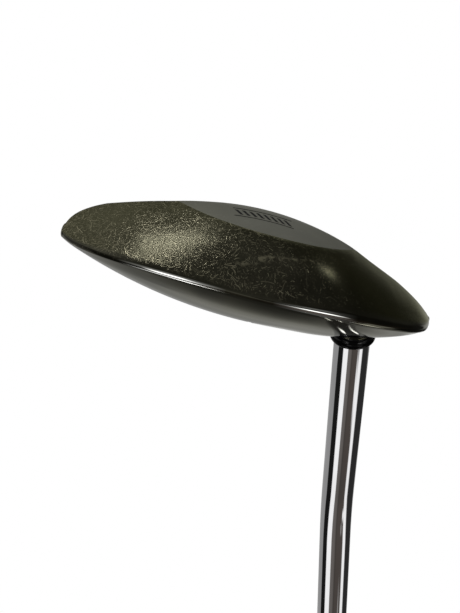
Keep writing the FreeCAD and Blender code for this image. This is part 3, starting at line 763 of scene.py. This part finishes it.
def turned_on_shaft(outline, crease):
    """A turned ring that stands where the shaft enters the crown; its outline is in millimetres."""
    mesh = turned([(radius * MM, height * MM) for radius, height in outline])
    mesh.transform(crown_seat)
    shaded(mesh, crease)
    return mesh


black_gloss, tree, shader = new_material("black_gloss")
swirls = ramp(tree, grain(tree, 500, detail=4), 0.4, 0.7)
two_toned(tree, shader, swirls, (0.002, 0.002, 0.0025, 1), (0.004, 0.004, 0.004, 1), rough=0.05, added=0.05)
shader.inputs["Specular IOR Level"].default_value = 0.08
ferrule = finished("ferrule_ring", turned_on_shaft(ring_outline, crease=40), black_gloss)
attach(ferrule, "root")
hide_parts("ferrule")


# The collar is a short rim of the head's own steel round the ferrule's foot. It is left standing when the
# seat is bored, and is plated with the head.

COLLAR_RADIUS = 6.1
COLLAR_HOLE = 5.62
COLLAR_FOOT = -4.1
COLLAR_TOP = -2.1
COLLAR_BREAK = 0.15
COLLAR_SHOULDER = 0.04
collar_outline = [(COLLAR_HOLE, COLLAR_FOOT), (COLLAR_RADIUS, COLLAR_FOOT),
                  (COLLAR_RADIUS, COLLAR_TOP - COLLAR_BREAK),
                  (COLLAR_RADIUS - COLLAR_SHOULDER, COLLAR_TOP - COLLAR_SHOULDER),
                  (COLLAR_RADIUS - COLLAR_BREAK, COLLAR_TOP), (COLLAR_HOLE, COLLAR_TOP),
                  (COLLAR_HOLE, COLLAR_FOOT)]
collar = finished("hosel_collar", turned_on_shaft(collar_outline, crease=50), belly_steel)
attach(collar, "root")


# The shaft is a steel tube, drawn thinner in steps towards its tip, bent once near the head and chromed
# bright. Its tip is glued into the head.

TIP_RADIUS = 4.7 * MM
BUTT_RADIUS = 7.35 * MM
BEND_RADIUS = 100 * MM
STEP_COUNT = 13
STEP_PITCH = 25 * MM
STEP_LENGTH = 2 * MM
FIRST_STEP = 262 * MM
SHAFT_TOP = 885 * MM
SHAFT_SIDES = 96
BEND_STEPS = 16
LEG_DEPTHS = (LEG_LENGTH + 12.4 * MM, LEG_LENGTH + 6 * MM, LEG_LENGTH, 50 * MM, 35 * MM, 22 * MM)
PLAIN_HEIGHTS = (130 * MM, 180 * MM, 230 * MM)
STEP_PROFILE = ((0, 0), (0.12, 0.03), (0.35, 0.28), (0.65, 0.72), (0.88, 0.97), (1, 1))

# The tube's rings from the tip to the butt: the straight leg, the bend, the plain stretch and the steps.
rings = [(leg_frame @ Matrix.Translation((0, 0, -depth)), TIP_RADIUS) for depth in LEG_DEPTHS]
tangent = BEND_RADIUS * math.tan(BEND / 2)
bend_top = shaft_frame @ Matrix.Translation((0, 0, BEND_UP + tangent))
for step in range(BEND_STEPS + 1):
    angle = BEND * (1 - step / BEND_STEPS)
    swung = (bend_top @ Matrix.Translation((0, BEND_RADIUS, 0)) @ Matrix.Rotation(angle, 4, "X")
             @ Matrix.Translation((0, -BEND_RADIUS, 0)))
    rings.append((swung, TIP_RADIUS))
rings += [(shaft_frame @ Matrix.Translation((0, 0, height)), TIP_RADIUS) for height in PLAIN_HEIGHTS]
rise = (BUTT_RADIUS - TIP_RADIUS) / STEP_COUNT
for step in range(STEP_COUNT):
    for along, out in STEP_PROFILE:
        height = FIRST_STEP + step * STEP_PITCH + along * STEP_LENGTH
        rings.append((shaft_frame @ Matrix.Translation((0, 0, height)), TIP_RADIUS + (step + out) * rise))
rings.append((shaft_frame @ Matrix.Translation((0, 0, SHAFT_TOP)), BUTT_RADIUS))


def shaft_spot(ring, side):
    """A corner of the tube's skin."""
    place, radius = rings[ring]
    angle = math.tau * side / SHAFT_SIDES
    return place @ Vector((radius * math.cos(angle), radius * math.sin(angle), 0))


shaft_mesh = rolled(len(rings), SHAFT_SIDES, shaft_spot)
for face in shaft_mesh.faces:
    face.smooth = len(face.verts) == 4
bright_chrome, tree, shader = new_material("bright_chrome")
haze = ramp(tree, grain(tree, 35, detail=5, rough=0.6), 0.35, 0.75)
hairs = ramp(tree, grain(tree, 5200, turn=0.2, stretch=(1, 1, 0.03), detail=0), 0.72, 0.78)
tree.links.new(blend(tree, haze, (0.70, 0.70, 0.71, 1), (0.62, 0.62, 0.62, 1)), shader.inputs["Base Color"])
shader.inputs["Metallic"].default_value = 1.0
dulled = plus(tree, times(tree, haze, 0.025), 0.035)
tree.links.new(plus(tree, dulled, times(tree, hairs, 0.05)), shader.inputs["Roughness"])
shaft = finished("putter_shaft", shaft_mesh, bright_chrome)
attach(shaft, "root")
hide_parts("shaft")


# Paper tape, sticky on both sides, holds the grip. It is wound on the shaft's butt and wetted, and the grip
# slides on over it.

paper_tape, tree, shader = new_material("paper_tape")
fibres = grain(tree, 1500, turn=0.4, stretch=(1, 1, 0.2), detail=4)
two_toned(tree, shader, fibres, (0.62, 0.55, 0.40, 1), (0.78, 0.72, 0.58, 1), rough=0.75, added=0.15)
coat("grip_tape", paper_tape)


# The grip is a black rubber sleeve, moulded with a flat for the thumbs that looks to the toe, and swollen
# for the palm. Rows of fine grooves run round its back, and two lines border the flat. It slides on over
# the tape.

GRIP_FOOT = 622 * MM
GRIP_TOP = 885 * MM
GRIP_CORNER = 2.4

# Four sections of the grip: how far up it they are, then the back's radius, the flat's distance from the
# shaft's line, and how far the back's middle stands off that line.
GRIP_SECTIONS = ((0.0, 8.8, 8.3, 0.0), (0.42, 12.4, 10.0, 0.0), (0.82, 14.0, 10.8, 2.2),
                 (1.0, 12.6, 10.4, 0.733))
GRIP_BORE = 7.65 * MM
GRIP_SIDES = 128
GRIP_RINGS = 520
GROOVE_PITCH = 2.4
GROOVE_DEPTH = 0.32
GROOVE_SLANT = 2.0
GROOVE_LAND = 0.2
GROOVED = (12, 255)
GROOVE_FADE = 4
GROOVE_END = 0.25
GROOVE_END_FADE = 0.12
LINE_HALF = 0.04


def through_sections(share, column):
    """A smooth curve through the four sections of the grip."""
    total = 0
    for here, *values in GRIP_SECTIONS:
        weight = 1
        for other, *_ in GRIP_SECTIONS:
            if other != here:
                weight *= (share - other) / (here - other)
        total += weight * values[column]
    return total


def grip_ring(share):
    """Points round the flat-sided section at one height, each with its angle and where the back ends."""
    radius, flat, swell = (through_sections(share, column) for column in range(3))
    reach = flat + swell - GRIP_CORNER
    across = math.sqrt((radius - GRIP_CORNER) ** 2 - reach**2)
    turn = math.acos(-reach / (radius - GRIP_CORNER))
    points = []
    for number in range(GRIP_SIDES):
        angle = (math.tau * number / GRIP_SIDES + math.pi) % math.tau - math.pi
        along = Vector((math.cos(angle), math.sin(angle)))
        if abs(angle) <= turn:
            point = Vector((swell, 0)) + radius * along
        else:
            # Towards the flat, the section is a straight side between two round corners.
            share_left = (math.pi - abs(angle)) / (math.pi - turn)
            corner_length = GRIP_CORNER * (math.pi - turn)
            total = corner_length + across
            travelled = share_left * total
            side = math.copysign(1, angle)
            if travelled < across:
                point = Vector((-flat, side * travelled))
            else:
                bent = math.pi - (travelled - across) / GRIP_CORNER
                point = Vector((GRIP_CORNER - flat + GRIP_CORNER * math.cos(bent),
                                side * (across + GRIP_CORNER * math.sin(bent))))
        points.append((point, angle, turn))
    return points


def round_spot(radius, height, side):
    """A place on a plain hole round the shaft's line."""
    angle = math.tau * side / GRIP_SIDES
    return shaft_frame @ Vector((radius * math.cos(angle), radius * math.sin(angle), height))


grip_shares = [step / GRIP_RINGS for step in range(GRIP_RINGS + 1)]
grip_sections = [grip_ring(share) for share in grip_shares]


def grip_spot(ring, side):
    """Up the outside with its grooves, then down the bore and back to the start."""
    if ring > GRIP_RINGS:
        inside = (GRIP_TOP, GRIP_FOOT)[min(ring - GRIP_RINGS - 1, 1)]
        return round_spot(GRIP_BORE, inside, side) if ring < GRIP_RINGS + 3 else grip_spot(0, side)
    point, angle, turn = grip_sections[ring][side]
    height = grip_shares[ring] * (GRIP_TOP - GRIP_FOOT) / MM
    fade = min(max((height - GROOVED[0]) / GROOVE_FADE, 0), 1)
    fade *= min(max((GROOVED[1] - height) / GROOVE_FADE, 0), 1)
    inward = 0.0
    if abs(angle) < turn - GROOVE_END:
        wave = math.cos(math.tau * (height / GROOVE_PITCH + GROOVE_SLANT * abs(angle)))
        edge = min((turn - GROOVE_END - abs(angle)) / GROOVE_END_FADE, 1)
        inward = GROOVE_DEPTH * max(wave - GROOVE_LAND, 0) / (1 - GROOVE_LAND) * fade * edge
    elif abs(abs(angle) - (turn - GROOVE_END / 2)) < LINE_HALF:
        inward = GROOVE_DEPTH * fade
    x, y = (point - point.normalized() * inward) * MM
    return shaft_frame @ Vector((x, y, GRIP_FOOT + height * MM))


grip_mesh = rolled(GRIP_RINGS + 4, GRIP_SIDES, grip_spot)
shaded(grip_mesh, crease=50)


def moulded_rubber(name, tone):
    """Black rubber with a fine grain, grey dust in it and a dull sheen."""
    material, tree, shader = new_material(name)
    dust = ramp(tree, grain(tree, 420, detail=6, rough=0.65), 0.45, 0.75)
    two_toned(tree, shader, dust, tone, toned(tone, 1.9), rough=0.55, added=0.15)
    pores = node(tree, "TexVoronoi", Vector=node(tree, "TexCoord").outputs["Object"], Scale=2400).outputs[0]
    bump = node(tree, "Bump", Strength=0.35, Distance=0.00008, Height=pores)
    tree.links.new(bump.outputs[0], shader.inputs["Normal"])
    return material


grip_rubber = moulded_rubber("grip_rubber", (0.018, 0.018, 0.019, 1))
grip = finished("grip_sleeve_rubber", grip_mesh, grip_rubber)
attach(grip, "root")
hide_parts("grip_sleeve")


# The cap closes the grip's end. It is the same rubber, rounded over and bonded to the sleeve, with a small
# hole that lets the air out when the grip slides on.

CAP_THICKNESS = 4.0 * MM
CAP_ROUND = 1.5 * MM
CAP_ROUND_STEPS = 8
RING_DEPTH = 0.25 * MM
RING_PROFILE = ((0.62, 0), (0.60, RING_DEPTH), (0.56, RING_DEPTH), (0.54, 0))
VENT_RADIUS = 1.2 * MM
_, cap_radius, _, cap_swell = GRIP_SECTIONS[-1]
cap_outline = [point for point, _, _ in grip_ring(1.0)]
cap_middle = Vector((cap_swell, 0))

# The cap's profile from its foot to the vent: its size as a share of its outline, and the height. A shallow
# ring is pressed into the top.
cap_steps = [(1.0, 0.0), (1.0, CAP_THICKNESS - CAP_ROUND)]
for step in range(1, CAP_ROUND_STEPS + 1):
    angle = math.pi / 2 * step / CAP_ROUND_STEPS
    cap_steps.append((1 - CAP_ROUND / MM / cap_radius * (1 - math.cos(angle)),
                      CAP_THICKNESS - CAP_ROUND * (1 - math.sin(angle))))
cap_steps += [(share, CAP_THICKNESS - depth) for share, depth in RING_PROFILE]
vent_heights = (CAP_THICKNESS, 0)


def cap_spot(ring, side):
    """Up the cap's edge, over its top, down the vent and back to the start."""
    if len(cap_steps) <= ring < len(cap_steps) + 2:
        return round_spot(VENT_RADIUS, GRIP_TOP + vent_heights[ring - len(cap_steps)], side)
    share, height = cap_steps[ring % (len(cap_steps) + 2)]
    x, y = (cap_middle + (cap_outline[side] - cap_middle) * share) * MM
    return shaft_frame @ Vector((x, y, GRIP_TOP + height))


cap_mesh = rolled(len(cap_steps) + 3, GRIP_SIDES, cap_spot)
shaded(cap_mesh, crease=40)
cap = finished("grip_end_cap", cap_mesh, moulded_rubber("cap_rubber", (0.015, 0.015, 0.016, 1)))
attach(cap, "root")
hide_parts("grip_cap")


# The floor is a pale studio table, with a fine tooth. It shows from above only, so that the camera under the
# sole sees past it, and lamps and reflections pass through it.

FLOOR_HALF = 6.0
floor_mesh = bmesh.new()
bmesh.ops.create_grid(floor_mesh, x_segments=4, y_segments=4, size=FLOOR_HALF)
pale_floor, tree, shader = new_material("pale_floor")
tone = ramp(tree, grain(tree, 40, detail=4), 0.3, 0.7)
tree.links.new(blend(tree, tone, (0.80, 0.80, 0.80, 1), (0.83, 0.83, 0.83, 1)), shader.inputs["Base Color"])
shader.inputs["Roughness"].default_value = 0.8
from_camera = node(tree, "LightPath").outputs["Is Camera Ray"]
from_above = maths(tree, "SUBTRACT", 1.0, node(tree, "NewGeometry").outputs["Backfacing"])
shown = times(tree, from_camera, from_above)
clear = node(tree, "BsdfTransparent").outputs[0]
mixed = node(tree, "MixShader", i0=shown, i1=clear, i2=shader.outputs[0])
tree.links.new(mixed.outputs[0], tree.nodes["Material Output"].inputs["Surface"])
floor = finished("studio_floor", floor_mesh, pale_floor)


# The studio round the putter is a dim room of grey walls and white screens, which the polished steel mirrors.
# Only the camera sees plain white past it, and three small lamps stand under the sole.

# Three directions at right angles: up the shaft, behind the putter, and to the heel's side.
SHAFT_WAY = (0.2957, 0, 0.9553)
NEAR_WAY = (-0.0472, 0.9988, 0.0148)
RIGHT_WAY = (0.9542, 0.0495, -0.2953)
DEGREES = 57.296
world = bpy.data.worlds.new("studio")
bpy.context.scene.world = world
world.use_nodes = True
tree = world.node_tree
way = node(tree, "TexCoord").outputs["Generated"]
along, near, right = (node(tree, "VectorMath", operation="DOT_PRODUCT", i0=way, i1=axis).outputs["Value"]
                      for axis in (SHAFT_WAY, NEAR_WAY, RIGHT_WAY))
round_shaft = times(tree, maths(tree, "ARCTAN2", right, near), DEGREES)
up_shaft = times(tree, maths(tree, "ARCSINE", along), DEGREES)

# Above the rim's reflections the room is turned further round the shaft.
TURN_BETWEEN = (26, 36)
UPPER_TURN = 30
round_shaft = plus(tree, round_shaft, times(tree, ramp(tree, up_shaft, *TURN_BETWEEN), UPPER_TURN))

# Each wall or screen, the later ones in front: from and to in degrees round the shaft, then up along it, then
# both soft edges and the colour.
SCREENS = (
    (-200, 200, -100, -50, 5, 10, (0.15, 0.15, 0.14)),
    (-200, 240, 62, 100, 5, 8, (0.09, 0.09, 0.085)),
    (118, 171, -62, -35, 8, 6, (0.17, 0.17, 0.16)),
    (116, 156, -38, -6, 8, 4, (0.072, 0.072, 0.065)),
    (15, 50, -60, -20, 8, 12, (0.20, 0.20, 0.19)),
    (-200, -84, 0, 40, 2, 5, (0.36, 0.36, 0.36)),
    (-172, -90, -36, -5, 8, 5, (0.24, 0.24, 0.24)),
    (160, 185, -22, 20, 5, 6, (0.57, 0.57, 0.57)),
    (132, 225, 6, 40, 3, 5, (0.55, 0.55, 0.54)),
    (-200, -100, 40, 65, 20, 9, (0.52, 0.52, 0.51)),
    (100, 240, 40, 65, 20, 9, (0.52, 0.52, 0.51)),
    (107, 178, 28, 56, 3, 4, (0.03, 0.03, 0.03)),
    (-126, -76, 27, 56, 2, 4, (0.36, 0.36, 0.36)),
    (-76, -30, 32, 60, 2, 3, (0.012, 0.012, 0.012)),
    (-12, 17, -35, 12, 3, 5, (0.42, 0.42, 0.41)),
    (-2, 26, 17, 60, 2, 5, (0.17, 0.155, 0.145)),
    (26, 90, 15, 60, 12, 6, (0.090, 0.076, 0.068)),
    (62, 70, 42.2, 46, 2, 0.8, (0.35, 0.34, 0.33)),
    (-38, -3, 36, 60, 2, 2, (1.25, 1.25, 1.25)),
    (83, 106, 35, 60, 3, 2, (1.2, 1.2, 1.2)),
    (72, 85, 46.8, 50.5, 3, 1.2, (1.2, 1.2, 1.2)),
    (-60, -5, -60, -26, 5, 6, (0.30, 0.30, 0.29)),
    (19, 41, 5, 18, 4, 3, (2.2, 2.2, 2.2)),
    (-31, -9, -33, 8, 4, 5, (1.9, 1.9, 1.9)),
    (-56, -29, 67, 76, 4, 2, (6.5, 6.5, 6.5)),
    (102, 128, 67, 76, 4, 2, (6.5, 6.5, 6.5)))
room = (0.045, 0.045, 0.042, 1)
for turn_low, turn_high, low, high, turn_soft, soft, colour in SCREENS:
    shown = times(tree, spread(tree, round_shaft, turn_low, turn_high, turn_soft),
                  spread(tree, up_shaft, low, high, soft))
    room = blend(tree, shown, room, (*colour, 1))

# A soft round glow stands low in front of the toe.
GLOW_WAY = Vector((-0.46, -0.79, -0.41)).normalized()
GLOW_EDGE = 0.87
GLOW_CORE = 0.985
glow = node(tree, "VectorMath", operation="DOT_PRODUCT", i0=way, i1=GLOW_WAY).outputs["Value"]
room = blend(tree, ramp(tree, glow, GLOW_EDGE, GLOW_CORE), room, (0.36, 0.36, 0.35, 1))
seen = blend(tree, node(tree, "LightPath").outputs["Is Camera Ray"], room, (1, 1, 1, 1))
tree.links.new(seen, tree.nodes["Background"].inputs["Color"])


def lamp(name, place, target, wide, high, brightness):
    """A small oval lamp turned to a spot on the head, as bright as a white card of the given level."""
    data = bpy.data.lights.new(name, "AREA")
    data.shape = "ELLIPSE"
    data.size = wide
    data.size_y = high
    area = math.pi * wide * high / 4
    # An even white card of brightness 1 sends out pi times its area.
    data.energy = brightness * math.pi * area
    made = bpy.data.objects.new(name, data)
    bpy.context.scene.collection.objects.link(made)
    made.location = place
    made.rotation_euler = (Vector(place) - Vector(target)).to_track_quat("Z", "Y").to_euler()
    made.visible_camera = False


lamp("toe_lamp", (-0.0315, -0.0175, -0.0262), (-0.0250, 0.0155, 0.0067),
     wide=0.0095, high=0.0040, brightness=10.8)
lamp("outer_toe_lamp", (-0.0395, -0.0168, -0.0238), (-0.0303, 0.0163, 0.0082),
     wide=0.0095, high=0.0040, brightness=7.8)
lamp("heel_lamp", (0.0486, -0.0279, -0.0375), (0.0132, 0.0166, 0.0033),
     wide=0.006, high=0.006, brightness=4.6)


# The camera looks up at the sole from behind the toe. It is turned over, so that the sole is at the top of
# the picture, as in the photograph.

CAMERA_PLACE = (-0.04263, 0.21124, -0.06476)
CAMERA_TURN = [math.radians(angle) for angle in (-113.638, 16.267, 3.386)]
LENS = 52.38
camera_data = bpy.data.cameras.new("camera")
camera_data.lens = LENS
camera_data.sensor_width = 36.0
camera_data.clip_start = 0.01
camera = bpy.data.objects.new("camera", camera_data)
bpy.context.scene.collection.objects.link(camera)
camera.location = CAMERA_PLACE
camera.rotation_euler = Euler(CAMERA_TURN, "XYZ")
bpy.context.scene.camera = camera
bpy.context.scene.view_settings.view_transform = "Standard"
